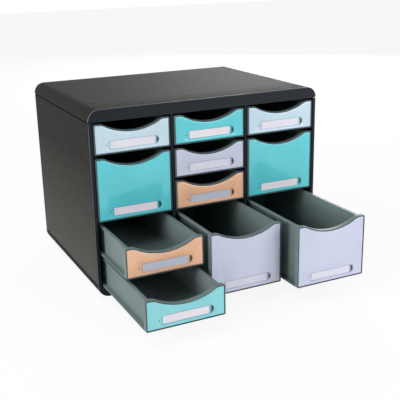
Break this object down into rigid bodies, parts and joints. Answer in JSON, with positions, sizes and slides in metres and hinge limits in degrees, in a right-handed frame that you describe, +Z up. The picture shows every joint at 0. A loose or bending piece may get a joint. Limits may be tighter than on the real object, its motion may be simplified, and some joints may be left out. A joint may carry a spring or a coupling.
{
  "type": "desktop drawer organizer",
  "caption": "Desktop case with three columns of pull-out drawers in two heights, each with a scooped front, a coloured face and a label holder.",
  "frame": {"origin": "on the table plane, at the middle of the four feet, below the middle of the case", "axes": "X to the right seen from the front, Y from the fronts to the back, Z up"},
  "size_m": [0.355, 0.4282, 0.271],
  "materials": {
    "case_plastic": "fine grained charcoal plastic",
    "foot_rubber": "plain black rubber",
    "tray_plastic": "satin slate grey plastic",
    "face_light_blue": "glossy pale blue plastic",
    "face_teal": "glossy light teal plastic",
    "face_lavender": "glossy pale lavender plastic",
    "face_peach": "glossy pale orange plastic",
    "label_window": "clear plastic",
    "label_card": "plain card"
  },
  "bodies": {
    "case": {"top_cover": "case_plastic", "base": "case_plastic", "left_side_panel": "case_plastic", "right_side_panel": "case_plastic", "left_divider": "case_plastic", "right_divider": "case_plastic", "back_panel": "case_plastic", "feet": "foot_rubber"},
    "left_drawer_1": {"left_drawer_1_tray": "tray_plastic", "left_drawer_1_face": "face_light_blue", "left_drawer_1_label_window": "label_window", "left_drawer_1_label_card": "label_card"},
    "left_drawer_2": {"left_drawer_2_tray": "tray_plastic", "left_drawer_2_face": "face_teal", "left_drawer_2_label_window": "label_window", "left_drawer_2_label_card": "label_card"},
    "left_drawer_3": {"left_drawer_3_tray": "tray_plastic", "left_drawer_3_face": "face_peach", "left_drawer_3_label_window": "label_window", "left_drawer_3_label_card": "label_card"},
    "left_drawer_4": {"left_drawer_4_tray": "tray_plastic", "left_drawer_4_face": "face_teal", "left_drawer_4_label_window": "label_window", "left_drawer_4_label_card": "label_card"},
    "middle_drawer_1": {"middle_drawer_1_tray": "tray_plastic", "middle_drawer_1_face": "face_teal", "middle_drawer_1_label_window": "label_window", "middle_drawer_1_label_card": "label_card"},
    "middle_drawer_2": {"middle_drawer_2_tray": "tray_plastic", "middle_drawer_2_face": "face_lavender", "middle_drawer_2_label_window": "label_window", "middle_drawer_2_label_card": "label_card"},
    "middle_drawer_3": {"middle_drawer_3_tray": "tray_plastic", "middle_drawer_3_face": "face_peach", "middle_drawer_3_label_window": "label_window", "middle_drawer_3_label_card": "label_card"},
    "middle_drawer_4": {"middle_drawer_4_tray": "tray_plastic", "middle_drawer_4_face": "face_lavender", "middle_drawer_4_label_window": "label_window", "middle_drawer_4_label_card": "label_card"},
    "right_drawer_1": {"right_drawer_1_tray": "tray_plastic", "right_drawer_1_face": "face_light_blue", "right_drawer_1_label_window": "label_window", "right_drawer_1_label_card": "label_card"},
    "right_drawer_2": {"right_drawer_2_tray": "tray_plastic", "right_drawer_2_face": "face_teal", "right_drawer_2_label_window": "label_window", "right_drawer_2_label_card": "label_card"},
    "right_drawer_3": {"right_drawer_3_tray": "tray_plastic", "right_drawer_3_face": "face_lavender", "right_drawer_3_label_window": "label_window", "right_drawer_3_label_card": "label_card"}
  },
  "joints": [
    {"name": "left_drawer_1_slide", "type": "slide", "parent": "case", "child": "left_drawer_1", "axis": [0, -1, 0], "range_m": [0, 0.185]},
    {"name": "left_drawer_2_slide", "type": "slide", "parent": "case", "child": "left_drawer_2", "axis": [0, -1, 0], "range_m": [0, 0.185]},
    {"name": "left_drawer_3_slide", "type": "slide", "parent": "case", "child": "left_drawer_3", "axis": [0, -1, 0], "range_m": [-0.098, 0.087]},
    {"name": "left_drawer_4_slide", "type": "slide", "parent": "case", "child": "left_drawer_4", "axis": [0, -1, 0], "range_m": [-0.158, 0.027]},
    {"name": "middle_drawer_1_slide", "type": "slide", "parent": "case", "child": "middle_drawer_1", "axis": [0, -1, 0], "range_m": [0, 0.185]},
    {"name": "middle_drawer_2_slide", "type": "slide", "parent": "case", "child": "middle_drawer_2", "axis": [0, -1, 0], "range_m": [0, 0.185]},
    {"name": "middle_drawer_3_slide", "type": "slide", "parent": "case", "child": "middle_drawer_3", "axis": [0, -1, 0], "range_m": [0, 0.185]},
    {"name": "middle_drawer_4_slide", "type": "slide", "parent": "case", "child": "middle_drawer_4", "axis": [0, -1, 0], "range_m": [-0.104, 0.081]},
    {"name": "right_drawer_1_slide", "type": "slide", "parent": "case", "child": "right_drawer_1", "axis": [0, -1, 0], "range_m": [0, 0.185]},
    {"name": "right_drawer_2_slide", "type": "slide", "parent": "case", "child": "right_drawer_2", "axis": [0, -1, 0], "range_m": [0, 0.185]},
    {"name": "right_drawer_3_slide", "type": "slide", "parent": "case", "child": "right_drawer_3", "axis": [0, -1, 0], "range_m": [-0.136, 0.049]}
  ]
}
